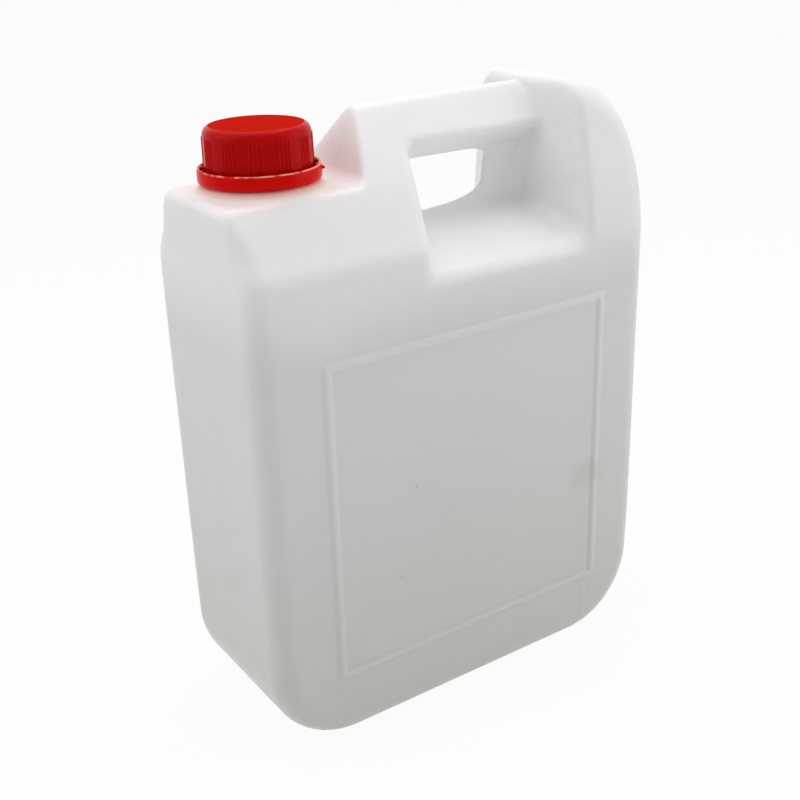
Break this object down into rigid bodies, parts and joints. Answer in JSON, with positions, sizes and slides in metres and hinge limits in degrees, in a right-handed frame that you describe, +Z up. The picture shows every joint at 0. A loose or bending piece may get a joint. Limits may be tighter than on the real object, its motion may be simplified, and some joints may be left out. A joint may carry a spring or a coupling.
{
  "type": "jerrycan",
  "caption": "Narrow blow-moulded jerrycan with a built-in handle, a plain raised label frame, and a screw cap over a tamper ring.",
  "frame": {"origin": "middle of the can's footprint, on the surface it stands on", "axes": "+Z up, +X from the neck towards the handle's column, -Y out of the face with the label frame"},
  "size_m": [0.23, 0.0978, 0.3061],
  "materials": {
    "natural_plastic": "satin, milky and slightly see-through",
    "red_plastic": "gloss, with a matte top",
    "liner_foam": "matte foam"
  },
  "bodies": {
    "can": {"can_body": "natural_plastic", "tamper_ring": "red_plastic"},
    "liner": {"cap_liner": "liner_foam"},
    "cap": {"screw_cap": "red_plastic"}
  },
  "joints": [
    {"name": "cap_lift", "type": "slide", "parent": "can", "child": "liner", "axis": [0, 0, 1], "range_m": [0, 0.007]},
    {"name": "cap_turn", "type": "hinge", "parent": "liner", "child": "cap", "pos_m": [-0.0803, 0, 0.2819], "axis": [0, 0, 1], "range_deg": [0, 630]}
  ],
  "couplings": [
    {"joint": "cap_lift", "follows": "cap_turn", "m_per_rad": 0.00063662}
  ]
}
